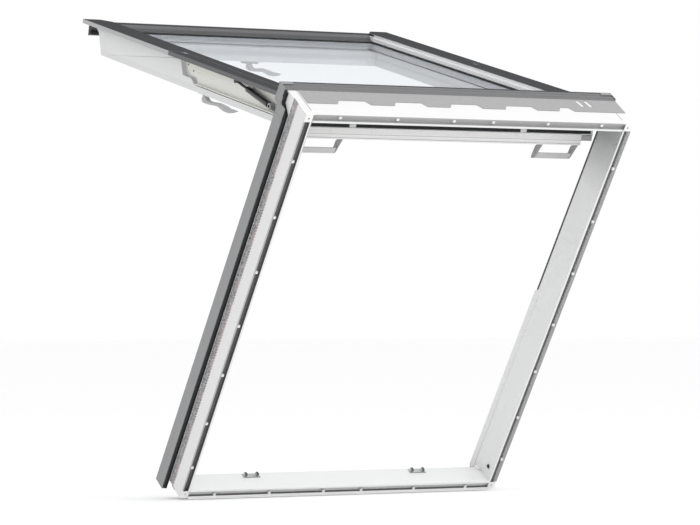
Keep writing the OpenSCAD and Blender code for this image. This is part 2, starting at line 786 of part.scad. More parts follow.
// Handle lever: a round neck, a strap beside the sash and a thicker grip that stands
// further out and tapers to its tip
module lever(n1) {
    tip = lever_l;
    bar_n(n1 - 24, n1, 0, 0, neck_r);
    bar_n(n1 - 21, n1 - 7.5, 0, 0, lever_w / 2);
    translate([0, n1, -lever_w / 2]) linear_extrude(lever_w)
        polygon([[-8, -14], [-8, -25], [-2, -31], [16, -33], [36, -33], [52, -34], [62, -39],
                 [tip - 43, -45], [tip - 25, -47.5], [tip - 10, -45], [tip, -39.5],
                 [tip - 1.5, -37.5], [tip - 15, -36], [tip - 27, -34.5], [tip - 38, -29.5],
                 [66, -26], [53, -23.5], [29, -24.5], [19, -23.5], [12, -19.5], [8, -14]]);
}

module at_bottom_handle() {
    opened() translate([0, 0, lock_v]) children();
}

module at_side_handle() {
    opened() translate([side_handle_at[0], 0, side_handle_at[1]]) children();
}

module handle_base() {
    color([0.72, 0.72, 0.72]) at_bottom_handle() neck_plate(sash_in_n - plate_t, 0);
}

module handle_lever() {
    color([0.72, 0.72, 0.72]) at_bottom_handle() lever(sash_in_n - plate_t);
}

module side_handle_base() {
    color([0.72, 0.72, 0.72]) at_side_handle() neck_plate(sash_in_n, 90);
}

module side_handle_lever() {
    color([0.72, 0.72, 0.72]) at_side_handle() rotate([0, -side_handle_turn, 0]) lever(sash_in_n);
}

// ---------------------------------------------------------------- all the pieces

frame_ring();
frame_gaskets();
side_cover_left();
side_cover_right();
corner_cap_left();
corner_cap_right();
top_cover();
top_plate();
bottom_cover();
lining_clips();
corner_blocks();
corner_screws();
strikers();
bolt_bush();
bolt_catch();
top_seal_clips();
hinge_bracket_left();
hinge_bracket_right();
hinge_pin_left();
hinge_pin_right();
strut_bracket_left();
strut_bracket_right();
arm_left();
arm_right();
pivot_plate_left();
pivot_plate_right();
pivot_pin_left();
pivot_pin_right();
arm_cover_left();
arm_cover_right();
arm_screws();
strut_tube_left();
strut_tube_right();
strut_rod_left();
strut_rod_right();
sash_ring();
outer_pane();
inner_pane();
pane_spacer();
glazing_gasket();
sash_cover_left();
sash_cover_right();
sash_cover_bottom();
sash_cover_top();
glazing_profiles();
pivot_bush_left();
pivot_bush_right();
vent_seal();
vent_end_blocks();
lock_case();
lock_bolts();
handle_base();
handle_lever();
side_handle_base();
side_handle_lever();
vent_flap();
pull_loops();
vent_caps();
drip_gasket();
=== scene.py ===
import json
import math

import bmesh
import bpy
from mathutils import Matrix, Vector


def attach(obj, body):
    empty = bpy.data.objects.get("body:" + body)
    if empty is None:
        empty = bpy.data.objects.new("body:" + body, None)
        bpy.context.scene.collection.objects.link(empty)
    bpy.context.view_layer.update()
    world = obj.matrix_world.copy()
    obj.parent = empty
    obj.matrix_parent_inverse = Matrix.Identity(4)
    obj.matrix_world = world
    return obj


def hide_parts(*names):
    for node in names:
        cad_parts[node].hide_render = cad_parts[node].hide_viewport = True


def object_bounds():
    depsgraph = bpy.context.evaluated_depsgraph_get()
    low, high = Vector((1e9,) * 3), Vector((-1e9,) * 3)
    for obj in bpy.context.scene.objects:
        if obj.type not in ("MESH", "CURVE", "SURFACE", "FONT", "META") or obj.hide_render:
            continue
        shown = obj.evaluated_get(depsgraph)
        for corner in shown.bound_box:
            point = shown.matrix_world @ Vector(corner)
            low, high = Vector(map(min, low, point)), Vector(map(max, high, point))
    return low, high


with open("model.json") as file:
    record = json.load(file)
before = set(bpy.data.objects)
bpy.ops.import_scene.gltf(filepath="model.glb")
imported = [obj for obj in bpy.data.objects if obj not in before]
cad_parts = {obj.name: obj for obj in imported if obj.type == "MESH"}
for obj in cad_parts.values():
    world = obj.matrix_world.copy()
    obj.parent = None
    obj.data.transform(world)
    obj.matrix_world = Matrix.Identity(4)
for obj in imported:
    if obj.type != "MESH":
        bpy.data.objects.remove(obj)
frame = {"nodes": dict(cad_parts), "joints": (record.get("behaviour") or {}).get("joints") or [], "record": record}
cad_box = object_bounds()


# ---------------------------------------------------------------- how the window lies
# The window leans back with the roof. Each piece is thought of in the window's own directions:
# x across, y outwards from the room face, z up the slope. The sash is made shut, and is then
# swung about the top hinge to where it stands open.

sill_axis = [m for m in frame["record"]["mounts"] if m["name"] == "bottom_end"][0]["axis"]
lean = math.atan2(sill_axis[1], -sill_axis[2])
# The window's own origin lies this far out from its room face
mid_depth = 0.030
on_roof = Matrix.Rotation(lean, 4, "X") @ Matrix.Translation((0, -mid_depth, 0))

top_hinge = [j for j in frame["joints"] if j["name"] == "top_hinge"][0]
hinge_line = on_roof.inverted() @ Vector(top_hinge["pos_m"])
open_angle = math.radians(-top_hinge["range_deg"][0])
opened = (on_roof @ Matrix.Translation(hinge_line) @ Matrix.Rotation(open_angle, 4, "X")
          @ Matrix.Translation(-hinge_line))


# ---------------------------------------------------------------- camera
# In the room, far back and to the left, a little under half the window's height. It looks
# very slightly upwards through a long lens.

camera = bpy.data.objects.new("camera", bpy.data.cameras.new("camera"))
camera.data.lens = 179.536
camera.data.sensor_width = 36
camera.location = (-5.45704, -9.62994, 0.58607)
camera.rotation_euler = [math.radians(a) for a in (90.65091, 0.03133, -29.75673)]
bpy.context.scene.collection.objects.link(camera)
bpy.context.scene.camera = camera


# ---------------------------------------------------------------- studio
# A wide pale floor that runs out of sight, a white surround, and one large soft light high
# on the room side of the window.

bpy.context.scene.view_settings.view_transform = "Standard"

floor_mesh = bmesh.new()
bmesh.ops.create_grid(floor_mesh, x_segments=1, y_segments=1, size=40)
floor_data = bpy.data.meshes.new("floor")
floor_mesh.to_mesh(floor_data)
floor_mesh.free()
floor = bpy.data.objects.new("floor", floor_data)
floor.location.z = cad_box[0][2] - 0.001
bpy.context.scene.collection.objects.link(floor)

floor_paint = bpy.data.materials.new("floor_paint")
floor_paint.use_nodes = True
floor_shader = floor_paint.node_tree.nodes["Principled BSDF"]
floor_shader.inputs["Base Color"].default_value = (0.98, 0.98, 0.98, 1)
floor_shader.inputs["Roughness"].default_value = 0.95
floor.data.materials.append(floor_paint)

surround = bpy.data.worlds.new("surround")
surround.use_nodes = True
surround.node_tree.nodes["Background"].inputs["Color"].default_value = (1, 1, 1, 1)
surround.node_tree.nodes["Background"].inputs["Strength"].default_value = 1.0
bpy.context.scene.world = surround


def soft_light(name, place, target, size, power):
    light = bpy.data.objects.new(name, bpy.data.lights.new(name, "AREA"))
    light.data.shape = "RECTANGLE"
    light.data.size, light.data.size_y = size
    light.data.energy = power
    light.location = place
    light.rotation_euler = (Vector(target) - Vector(place)).to_track_quat("-Z", "Y").to_euler()
    bpy.context.scene.collection.objects.link(light)


soft_light("overhead", (0.5, -4.35, 3.75), (0, 0, 0.6), (4.0, 4.0), 95)


# ---------------------------------------------------------------- white frame
# Four mitred members moulded in white plastic round a wooden core, satin and faintly grained.
# The room face has a groove for the lining; each outer side has a shallow band with a row of
# small stitched marks along its inner edge.

def wire(tree, kind, inputs=(), **settings):
    """Adds one shader node. Each input is a value, or a socket to join to it."""
    made = tree.nodes.new(kind)
    for name, value in settings.items():
        setattr(made, name, value)
    for key, value in dict(inputs).items():
        if isinstance(value, bpy.types.NodeSocket):
            tree.links.new(value, made.inputs[key])
        else:
            made.inputs[key].default_value = value
    return made


def effect(name, sockets_in, sockets_out):
    """An empty node group with its way in and its way out."""
    tree = bpy.data.node_groups.new(name, "ShaderNodeTree")
    for label, kind, start in sockets_in:
        made = tree.interface.new_socket(name=label, in_out="INPUT", socket_type=kind)
        made.default_value = start
    for label, kind in sockets_out:
        tree.interface.new_socket(name=label, in_out="OUTPUT", socket_type=kind)
    return tree, tree.nodes.new("NodeGroupInput"), tree.nodes.new("NodeGroupOutput")


# Where a point lies in the window's own directions, with the sash swung shut again
own_place, way_in, way_out = effect(
    "own_place", [("Swing", "NodeSocketFloat", 0.0)], [("Place", "NodeSocketVector")])
at = wire(own_place, "ShaderNodeTexCoord")
upright = wire(own_place, "ShaderNodeVectorRotate",
               {"Vector": at.outputs["Object"], "Angle": -lean}, rotation_type="X_AXIS")
moved = wire(own_place, "ShaderNodeVectorMath",
             {0: upright.outputs[0], 1: (0, mid_depth, 0)}, operation="ADD")
back = wire(own_place, "ShaderNodeMath", {0: way_in.outputs["Swing"], 1: -1.0},
            operation="MULTIPLY")
shut = wire(own_place, "ShaderNodeVectorRotate",
            {"Vector": moved.outputs[0], "Center": hinge_line, "Angle": back.outputs[0]},
            rotation_type="X_AXIS")
own_place.links.new(shut.outputs[0], way_out.inputs["Place"])

# The skin of a moulding: cloudy by a percent or two, with a fine grain
moulded_skin, way_in, way_out = effect(
    "moulded_skin",
    [("Place", "NodeSocketVector", (0, 0, 0)), ("Colour", "NodeSocketColor", (0.8, 0.8, 0.8, 1)),
     ("Cloud", "NodeSocketFloat", 0.04), ("Grain", "NodeSocketFloat", 0.15)],
    [("Colour", "NodeSocketColor"), ("Normal", "NodeSocketVector")])
cloud = wire(moulded_skin, "ShaderNodeTexNoise",
             {"Vector": way_in.outputs["Place"], "Scale": 7.0, "Detail": 4.0})
drift = wire(moulded_skin, "ShaderNodeMath", {0: cloud.outputs["Fac"], 1: 0.5},
             operation="SUBTRACT")
amount = wire(moulded_skin, "ShaderNodeMath",
              {0: drift.outputs[0], 1: way_in.outputs["Cloud"]}, operation="MULTIPLY")
level = wire(moulded_skin, "ShaderNodeMath", {0: amount.outputs[0], 1: 1.0}, operation="ADD")
toned = wire(moulded_skin, "ShaderNodeVectorMath",
             {0: way_in.outputs["Colour"], "Scale": level.outputs[0]}, operation="SCALE")
grain = wire(moulded_skin, "ShaderNodeTexNoise",
             {"Vector": way_in.outputs["Place"], "Scale": 900.0, "Detail": 2.0})
bump = wire(moulded_skin, "ShaderNodeBump",
            {"Height": grain.outputs["Fac"], "Strength": way_in.outputs["Grain"],
             "Distance": 0.0002})
moulded_skin.links.new(toned.outputs[0], way_out.inputs["Colour"])
moulded_skin.links.new(bump.outputs[0], way_out.inputs["Normal"])


def product(tree, a, b):
    """Two numbers, or two masks, multiplied."""
    return wire(tree, "ShaderNodeMath", {0: a, 1: b}, operation="MULTIPLY").outputs[0]


def new_material(name, roughness, metallic=0.0, reflect=0.5):
    """A material with its shader's own constants set, and its node tree."""
    made = bpy.data.materials.new(name)
    made.use_nodes = True
    shader = made.node_tree.nodes["Principled BSDF"]
    shader.inputs["Roughness"].default_value = roughness
    shader.inputs["Metallic"].default_value = metallic
    shader.inputs["Specular IOR Level"].default_value = reflect
    return made, made.node_tree, shader


def skinned(name, kind, colour, swing, amounts, roughness, metallic, reflect):
    """A material whose colour and relief come from one kind of skin."""
    made, tree, shader = new_material(name, roughness, metallic, reflect)
    place = wire(tree, "ShaderNodeGroup", node_tree=own_place)
    place.inputs["Swing"].default_value = swing
    skin = wire(tree, "ShaderNodeGroup", node_tree=kind)
    tree.links.new(place.outputs["Place"], skin.inputs["Place"])
    skin.inputs["Colour"].default_value = (*colour, 1)
    for label, amount in amounts.items():
        skin.inputs[label].default_value = amount
    tree.links.new(skin.outputs["Colour"], shader.inputs["Base Color"])
    tree.links.new(skin.outputs["Normal"], shader.inputs["Normal"])
    return made


def moulding(name, colour, roughness, swing=0.0, cloud=0.04, grain=0.15, reflect=0.4):
    """A moulded plastic or rubber."""
    return skinned(name, moulded_skin, colour, swing, {"Cloud": cloud, "Grain": grain},
                   roughness, 0.0, reflect)


def in_range(tree, value, low, high):
    """1 where value lies between low and high, and 0 elsewhere."""
    above = wire(tree, "ShaderNodeMath", {0: value, 1: low}, operation="GREATER_THAN")
    below = wire(tree, "ShaderNodeMath", {0: value, 1: high}, operation="LESS_THAN")
    return product(tree, above.outputs[0], below.outputs[0])


def own_parts(material):
    """A material's tree, the node that gives the place in the window, and that place as X, Y
    and Z."""
    tree = material.node_tree
    place = [n for n in tree.nodes if n.type == "GROUP" and n.node_tree == own_place][0]
    return tree, place, wire(tree, "ShaderNodeSeparateXYZ", {0: place.outputs["Place"]})


def two_tones(ramp, low, low_colour, high, high_colour):
    """Sets the two ends of a colour ramp."""
    for end, position, colour in ((0, low, low_colour), (1, high, high_colour)):
        ramp.color_ramp.elements[end].position = position
        ramp.color_ramp.elements[end].color = (*colour, 1)


def tinted(material, mask, colour):
    """Lays a colour over what feeds the material's base colour, where the mask is 1."""
    tree = material.node_tree
    base = tree.nodes["Principled BSDF"].inputs["Base Color"]
    under = base.links[0].from_socket
    over = wire(tree, "ShaderNodeMix", data_type="RGBA")
    tree.links.new(mask, over.inputs["Factor"])
    tree.links.new(under, over.inputs["A"])
    if isinstance(colour, bpy.types.NodeSocket):
        tree.links.new(colour, over.inputs["B"])
    else:
        over.inputs["B"].default_value = (*colour, 1)
    tree.links.new(over.outputs["Result"], base)


def soft_copy(node, body, place, edge, materials, least=0.012, rounds=(), segments=2):
    """A CAD piece as it is really finished: its sharp edges are rounded off, and each face has
    the first material whose test holds for its direction and middle."""
    shape = bmesh.new()
    shape.from_mesh(frame["nodes"][node].data)
    bmesh.ops.transform(shape, matrix=place.inverted(), verts=shape.verts)
    bmesh.ops.remove_doubles(shape, verts=shape.verts, dist=0.00001)
    bmesh.ops.dissolve_limit(shape, angle_limit=math.radians(1), verts=shape.verts,
                             edges=shape.edges)
    bmesh.ops.connect_verts_concave(shape, faces=shape.faces)
    for test, radius in rounds:
        picked = [e for e in shape.edges if test(e.verts[0].co, e.verts[1].co)]
        bmesh.ops.bevel(shape, geom=picked, offset=radius, offset_type="OFFSET",
                        affect="EDGES", segments=6, profile=0.5, material=-1,
                        clamp_overlap=False)
    sharp = [e for e in shape.edges if len(e.link_faces) == 2 and e.calc_length() > least
             and e.calc_face_angle() > math.radians(30)]
    bmesh.ops.bevel(shape, geom=sharp, offset=edge, offset_type="OFFSET", affect="EDGES",
                    segments=segments, profile=0.5, material=-1, clamp_overlap=False)
    return placed(shape, node, [node], body, place, materials)


def placed(shape, name, nodes, body, place, materials):
    """Turns a finished shape into the piece that stands for some CAD nodes."""
    shape.normal_update()
    for face in shape.faces:
        face.smooth = True
        middle = face.calc_center_median()
        for index, (material, test) in enumerate(materials):
            if test is None or test(face.normal, middle):
                face.material_index = index
                break
    bmesh.ops.transform(shape, matrix=place, verts=shape.verts)
    data = bpy.data.meshes.new(name)
    shape.to_mesh(data)
    shape.free()
    data.set_sharp_from_angle(angle=math.radians(42))
    for material, test in materials:
        data.materials.append(material)
    piece = bpy.data.objects.new(name + "_piece", data)
    bpy.context.scene.collection.objects.link(piece)
    even = piece.modifiers.new("even_shading", "WEIGHTED_NORMAL")
    even.keep_sharp = True
    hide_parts(*nodes)
    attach(piece, body)
    return piece


frame_width = 1.140
frame_length = 1.398
white_frame = moulding("white_frame", (0.715, 0.718, 0.715), 0.42)
tree, place, split = own_parts(white_frame)
on_side = wire(tree, "ShaderNodeMath", {0: split.outputs["X"]}, operation="ABSOLUTE").outputs[0]

# The band on each outer side, darkly flecked, and the slanted stitches along its inner edge
side_x = (0.5675, 0.5715)
fleck_y = (0.0640, 0.0862)
stitch_y = (0.0560, 0.0665)
fleck_fineness = 330.0
stitches_a_metre = 95.0
stitch_slant = 1.1
stitch_part = (0.30, 1.0)
thread_patch_fineness = 18.0
side = in_range(tree, on_side, *side_x)
strip = in_range(tree, split.outputs["Y"], *stitch_y)
speckle = wire(tree, "ShaderNodeTexNoise", {"Vector": place.outputs["Place"],
                                            "Scale": fleck_fineness, "Detail": 1.0})
flecks = wire(tree, "ShaderNodeValToRGB", {0: speckle.outputs["Fac"]})
two_tones(flecks, 0.40, (0.13, 0.13, 0.14), 0.62, (0.52, 0.52, 0.52))
slant = wire(tree, "ShaderNodeMath",
             {0: split.outputs["Y"], 1: stitch_slant, 2: split.outputs["Z"]},
             operation="MULTIPLY_ADD")
turns = product(tree, slant.outputs[0], stitches_a_metre)
dash = wire(tree, "ShaderNodeMath", {0: turns}, operation="FRACT")
stitch = in_range(tree, dash.outputs[0], *stitch_part)
marks = product(tree, product(tree, side, strip), stitch)
patches = wire(tree, "ShaderNodeTexNoise", {"Vector": place.outputs["Place"],
                                            "Scale": thread_patch_fineness, "Detail": 1.0})
thread = wire(tree, "ShaderNodeValToRGB", {0: patches.outputs["Fac"]})
two_tones(thread, 0.44, (0.16, 0.16, 0.19), 0.56, (0.46, 0.27, 0.28))
band_side = product(tree, side, in_range(tree, split.outputs["Y"], *fleck_y))
tinted(white_frame, band_side, flecks.outputs["Color"])
tinted(white_frame, marks, thread.outputs["Color"])

# The inner side of each upright darkens towards the top, as painted shade
jamb_x = (0.5405, 0.5440)
shade_from_z = 1.12
shade_to_z = 1.32
jamb = in_range(tree, on_side, *jamb_x)
shade = wire(tree, "ShaderNodeMapRange", {"Value": split.outputs["Z"], "From Min": shade_from_z,
                                          "From Max": shade_to_z, "To Max": 0.85})
tinted(white_frame, product(tree, jamb, shade.outputs["Result"]), (0.30, 0.305, 0.31))

# The room face: greyer from the groove outwards and at the top, as painted shade, and paler on the sill's rim and
# upper side, as painted light
room_face_y = (-0.0035, 0.0006)
above_sill_z = (0.03, 1.41)
outer_edge_x = (0.5485, 0.58)
top_edge_z = (1.3765, 1.41)
sill_z = (-0.001, 0.03)
sill_rim_y = (-0.010, 0.0006)
sill_top_z = (0.0274, 0.0286)
between_jambs_x = (-0.001, 0.5405)
room_face = product(tree, in_range(tree, split.outputs["Y"], *room_face_y),
                    in_range(tree, split.outputs["Z"], *above_sill_z))
outer_edge_painted_shade = in_range(tree, on_side, *outer_edge_x)
top_edge_painted_shade = in_range(tree, split.outputs["Z"], *top_edge_z)
sill_rim_painted_light = product(tree, in_range(tree, split.outputs["Z"], *sill_z),
                   in_range(tree, split.outputs["Y"], *sill_rim_y))
sill_top_painted_light = product(tree, in_range(tree, split.outputs["Z"], *sill_top_z),
                   in_range(tree, on_side, *between_jambs_x))
# Painted light on the sill's rim and upper side
for where in (sill_rim_painted_light, sill_top_painted_light):
    tinted(white_frame, where, (0.78, 0.782, 0.78))
# Painted shade on the room face's outer edges and along its top
for where, colour in ((outer_edge_painted_shade, (0.40, 0.403, 0.40)), (top_edge_painted_shade, (0.34, 0.343, 0.34))):
    tinted(white_frame, product(tree, room_face, where), colour)

# The groove is painted in shade: dark, and less dark along the top member. Its outer wall on
# the right and its floor along the sill keep the frame's white.
groove_painted_shade = moulding("groove_painted_shade", (0.13, 0.13, 0.13), 0.6)
groove_painted_half_shade = moulding("groove_painted_half_shade", (0.42, 0.42, 0.42), 0.6)
groove_y = (0.0003, 0.0106)
groove_inset = (0.0035, 0.0225)
groove_floor_y = 0.0096
groove_right_x = 0.56
groove_sill_z = 0.03
groove_top_z = 1.37
# A face looks mostly one way when this much of its direction points there
mostly = 0.7


def in_groove(n, m):
    inset = min(frame_width / 2 - abs(m.x), m.z, frame_length - m.z)
    return groove_y[0] < m.y < groove_y[1] and groove_inset[0] < inset < groove_inset[1]


def right_wall(n, m):
    return in_groove(n, m) and n.x < -mostly and m.x > groove_right_x


def sill_floor(n, m):
    return in_groove(n, m) and m.z < groove_sill_z and m.y > groove_floor_y


soft_copy("frame_ring", "frame", on_roof, 0.0006,
          [(white_frame, right_wall), (white_frame, sill_floor),
           (groove_painted_half_shade, lambda n, m: in_groove(n, m) and m.z > groove_top_z),
           (groove_painted_shade, in_groove), (white_frame, None)])


# ---------------------------------------------------------------- plates and clips of the groove
# Small white plastic mouldings: a plate over the groove at each corner, held by a dark screw
# deep in its hole, and clips pressed into the groove between them.

white_plastic = moulding("white_plastic", (0.76, 0.76, 0.75), 0.5)
dark_screw = moulding("dark_screw", (0.05, 0.05, 0.05), 0.4)


def wear(node, *materials):
    """Gives a CAD node its finish."""
    shown = frame["nodes"][node].data
    shown.materials.clear()
    for material in materials:
        shown.materials.append(material)


soft_copy("corner_blocks", "frame", on_roof, 0.0004, [(white_plastic, None)],
          least=0.004)
wear("lining_clips", white_plastic)
wear("corner_screws", dark_screw)


# ---------------------------------------------------------------- rubber strips of the frame
# Black extruded rubber, matt and slightly dusty, run down both sides under the covers.

rubber = moulding("rubber", (0.018, 0.019, 0.02), 0.75, cloud=0.3, grain=0.3, reflect=0.2)
soft_copy("frame_gaskets", "frame", on_roof, 0.0008, [(rubber, None)])


# ---------------------------------------------------------------- side covers and corner caps
# Folded aluminium sheet, coated grey: one angle down each side, and a cap over each top corner.
# The coat has a very fine orange peel and a few long, faint streaks from rolling.

lacquer_skin, way_in, way_out = effect(
    "lacquer_skin",
    [("Place", "NodeSocketVector", (0, 0, 0)), ("Colour", "NodeSocketColor", (0.3, 0.3, 0.3, 1)),
     ("Streak", "NodeSocketFloat", 0.10), ("Peel", "NodeSocketFloat", 0.12)],
    [("Colour", "NodeSocketColor"), ("Normal", "NodeSocketVector")])
drawn_out = wire(lacquer_skin, "ShaderNodeVectorMath",
                 {0: way_in.outputs["Place"], 1: (60.0, 60.0, 1.5)}, operation="MULTIPLY")
streak = wire(lacquer_skin, "ShaderNodeTexNoise",
              {"Vector": drawn_out.outputs[0], "Scale": 1.0, "Detail": 3.0})
drift = wire(lacquer_skin, "ShaderNodeMath", {0: streak.outputs["Fac"], 1: 0.5},
             operation="SUBTRACT")
amount = wire(lacquer_skin, "ShaderNodeMath",
              {0: drift.outputs[0], 1: way_in.outputs["Streak"]}, operation="MULTIPLY")
level = wire(lacquer_skin, "ShaderNodeMath", {0: amount.outputs[0], 1: 1.0}, operation="ADD")
toned = wire(lacquer_skin, "ShaderNodeVectorMath",
             {0: way_in.outputs["Colour"], "Scale": level.outputs[0]}, operation="SCALE")
peel = wire(lacquer_skin, "ShaderNodeTexNoise",
            {"Vector": way_in.outputs["Place"], "Scale": 600.0, "Detail": 1.0})
bump = wire(lacquer_skin, "ShaderNodeBump",
            {"Height": peel.outputs["Fac"], "Strength": way_in.outputs["Peel"],
             "Distance": 0.0002})
lacquer_skin.links.new(toned.outputs[0], way_out.inputs["Colour"])
lacquer_skin.links.new(bump.outputs[0], way_out.inputs["Normal"])


def lacquer(name, colour, roughness, swing=0.0, streak=0.12, reflect=0.5, metallic=0.0):
    """Coated or bare metal, with the sheet's faint streaks."""
    return skinned(name, lacquer_skin, colour, swing, {"Streak": streak},
                   roughness, metallic, reflect)


# One grey coat in three tones by where each face looks: the upward tops painted dark as shade, with their
# reflection taken away, the insides painted in shade, and the sides as lit
cover_grey = lacquer("cover_grey", (0.255, 0.257, 0.262), 0.4, reflect=0.4)
cover_top_painted_shade = lacquer("cover_top_painted_shade", (0.070, 0.071, 0.075), 0.6, reflect=0.0)
cover_inside_painted_shade = lacquer("cover_inside_painted_shade", (0.10, 0.10, 0.105), 0.6, reflect=0.1)
top_fold_y = 0.14
# A face looks partly one way when this much of its direction points there
partly = 0.5

for hand, out in (("left", -1), ("right", 1)):
    for kind in ("side_cover_", "corner_cap_"):
        soft_copy(kind + hand, "frame", on_roof, 0.0003,
                  [(cover_top_painted_shade, lambda n, m: n.y > mostly and m.y > top_fold_y),
                   (cover_inside_painted_shade, lambda n, m, out=out: n.x * out < -partly),
                   (cover_grey, None)])


# ---------------------------------------------------------------- top cover
# Folded aluminium along the top edge, with two ribs rolled along it; its upper fold is painted dark as shade.

cover_rib = lacquer("cover_rib", (0.150, 0.151, 0.155), 0.42, reflect=0.3)
upper_fold_y = 0.1705
soft_copy("top_cover", "frame", on_roof, 0.0006,
          [(cover_top_painted_shade, lambda n, m: m.y > upper_fold_y), (cover_rib, None)])


# ---------------------------------------------------------------- top plate
# Galvanised steel sheet on the top end, dull silver, with punched cut-outs whose cut edges
# are painted dark as shade lines.

zinc = lacquer("zinc_sheet", (0.33, 0.33, 0.33), 0.5, streak=0.16, reflect=0.3)
zinc_edge_painted_shade = lacquer("zinc_edge_painted_shade", (0.10, 0.10, 0.10), 0.6, reflect=0.1)
top_end_z = 1.3975
# A face looks slightly one way when this much of its direction points there
slightly = 0.3
soft_copy("top_plate", "frame", on_roof, 0.00025,
          [(zinc_edge_painted_shade, lambda n, m: abs(n.z) < slightly and m.z > top_end_z), (zinc, None)], least=0.004)


# ---------------------------------------------------------------- bottom cover
# Folded aluminium that throws rain clear of the sill, dark grey. Its inner flange, and the part
# beside it that faces the room, are paler, as painted light.

cover_dark = lacquer("cover_dark", (0.16, 0.16, 0.165), 0.45, reflect=0.3)
cover_pale_painted_light = lacquer("cover_pale_painted_light", (0.62, 0.62, 0.62), 0.5, reflect=0.2)
flange_z = 0.005
room_side_z = -0.010
soft_copy("bottom_cover", "frame", on_roof, 0.0003,
          [(cover_pale_painted_light, lambda n, m: m.z > flange_z or (n.y < -mostly and m.z > room_side_z)),
           (cover_dark, None)])


# ---------------------------------------------------------------- fittings in the frame
# Two small zinc-plated keeps on the sill, a steel bush and a pale catch at its right end, and
# pale clips on the seal under the top member.

plated = lacquer("plated_steel", (0.50, 0.51, 0.50), 0.35, metallic=0.5)
dark_steel = lacquer("dark_steel", (0.05, 0.05, 0.052), 0.4, reflect=0.4)
keep_top_z = 0.0385
soft_copy("strikers", "frame", on_roof, 0.0004,
          [(dark_steel, lambda n, m: n.y < -partly or m.z > keep_top_z), (plated, None)], least=0.002)
soft_copy("bolt_bush", "frame", on_roof, 0.0003, [(dark_steel, None)], least=0.001)
soft_copy("bolt_catch", "frame", on_roof, 0.0006, [(white_plastic, None)],
          least=0.002)
soft_copy("top_seal_clips", "frame", on_roof, 0.0005, [(white_plastic, None)],
          least=0.002)


# ---------------------------------------------------------------- hinges
# Pressed steel brackets with riveted steel pins, zinc plated.

steel = lacquer("steel", (0.42, 0.42, 0.43), 0.32, metallic=0.7)
for hand in ("left", "right"):
    soft_copy("hinge_bracket_" + hand, "frame", on_roof, 0.0004, [(steel, None)],
              least=0.002)
    wear("hinge_pin_" + hand, steel)


# ---------------------------------------------------------------- gas struts
# Black enamelled steel: a bracket on the jamb, a tube with a pale bush at its lower end, and a
# thin rod.

enamel = lacquer("black_steel", (0.012, 0.013, 0.014), 0.22, reflect=0.6)
enamel_dull = lacquer("black_rod", (0.02, 0.02, 0.021), 0.4, reflect=0.4)
bush_pale = lacquer("bush_pale", (0.34, 0.34, 0.335), 0.4)
bush_from_foot = 0.114
bush_middle_radius = 0.0055
bush_radius = 0.0105
swing_joint = [j for j in frame["joints"] if j["name"] == "strut_swing_left"][0]
slide_joint = [j for j in frame["joints"] if j["name"] == "rod_slide_left"][0]
foot = on_roof.inverted() @ Vector(swing_joint["pos_m"])
far = on_roof.inverted() @ (Vector(swing_joint["pos_m"]) + Vector(slide_joint["axis"]))
bush = foot + (far - foot) * bush_from_foot


def from_bush(m):
    return math.hypot(m.y - bush.y, m.z - bush.z)


for hand in ("left", "right"):
    soft_copy("strut_bracket_" + hand, "frame", on_roof, 0.0004,
              [(enamel, None)], least=0.002)
    soft_copy("strut_tube_" + hand, "strut_" + hand, on_roof, 0.0005,
              [(enamel, lambda n, m: abs(n.x) < mostly and from_bush(m) < bush_middle_radius),
               (bush_pale, lambda n, m: from_bush(m) < bush_radius), (enamel, None)],
              least=0.0012)
    soft_copy("strut_rod_" + hand, "rod_" + hand, on_roof, 0.0003,
              [(enamel_dull, None)], least=0.0012)


# ---------------------------------------------------------------- lifting arms
# Pressed steel arms, cream enamelled, with a plate riveted over the pivot. A strip of the
# dark aluminium cover rides on each arm; its upward faces are painted darker as shade.

arm_white = lacquer("arm_white", (0.75, 0.75, 0.715), 0.42, swing=open_angle, streak=0.05)
plate_white = lacquer("plate_white", (0.74, 0.74, 0.69), 0.42, swing=open_angle, streak=0.05)
arm_cover = lacquer("arm_cover", (0.10, 0.101, 0.105), 0.42, swing=open_angle, reflect=0.4)
arm_cover_top_painted_shade = lacquer("arm_cover_top_painted_shade", (0.070, 0.071, 0.075), 0.6, swing=open_angle,
                        reflect=0.0)
arm_fold_y = 0.16
for hand in ("left", "right"):
    soft_copy("arm_" + hand, "arms", opened, 0.0004, [(arm_white, None)],
              least=0.002)
    soft_copy("pivot_plate_" + hand, "arms", opened, 0.0003,
              [(plate_white, None)], least=0.0012)
    soft_copy("arm_cover_" + hand, "arms", opened, 0.0003,
              [(arm_cover_top_painted_shade, lambda n, m: n.y > mostly and m.y > arm_fold_y), (arm_cover, None)])
    wear("pivot_pin_" + hand, steel)
wear("arm_screws", dark_steel)


# ---------------------------------------------------------------- sash
# The white moulded sash, like the frame. A strip along the room edge of each side is very
# slightly darker, and the sides are hollowed for the arms.

white_sash = moulding("white_sash", (0.700, 0.704, 0.704), 0.42, swing=open_angle)
tree, place, split = own_parts(white_sash)
on_side = wire(tree, "ShaderNodeMath", {0: split.outputs["X"]}, operation="ABSOLUTE").outputs[0]
stile_x = (0.5364, 0.5376)
room_edge_y = (0.0, 0.0795)
edge_strip = product(tree, in_range(tree, on_side, *stile_x),
                     in_range(tree, split.outputs["Y"], *room_edge_y))
tinted(white_sash, edge_strip, (0.665, 0.668, 0.67))

recess_edge_length = (0.008, 0.03)
recess_x = 0.518
recess_y = 0.0805
recess_z = (0.5, 0.76)


def recess_corner(a, b):
    """Edges across the side of the sash, at the corners of the hollow for the arm."""
    long_enough = recess_edge_length[0] < abs(a.x - b.x) < recess_edge_length[1]
    across = long_enough and (a.yz - b.yz).length < 0.0002
    far_out = min(abs(a.x), abs(b.x)) > recess_x
    return across and far_out and a.y > recess_y and recess_z[0] < a.z < recess_z[1]


soft_copy("sash_ring", "sash", opened, 0.0007, [(white_sash, None)],
          rounds=[(recess_corner, 0.003)])


# ---------------------------------------------------------------- glass
# Two clear panes of 4 mm float glass, held apart by a pale spacer and sealed with black rubber.

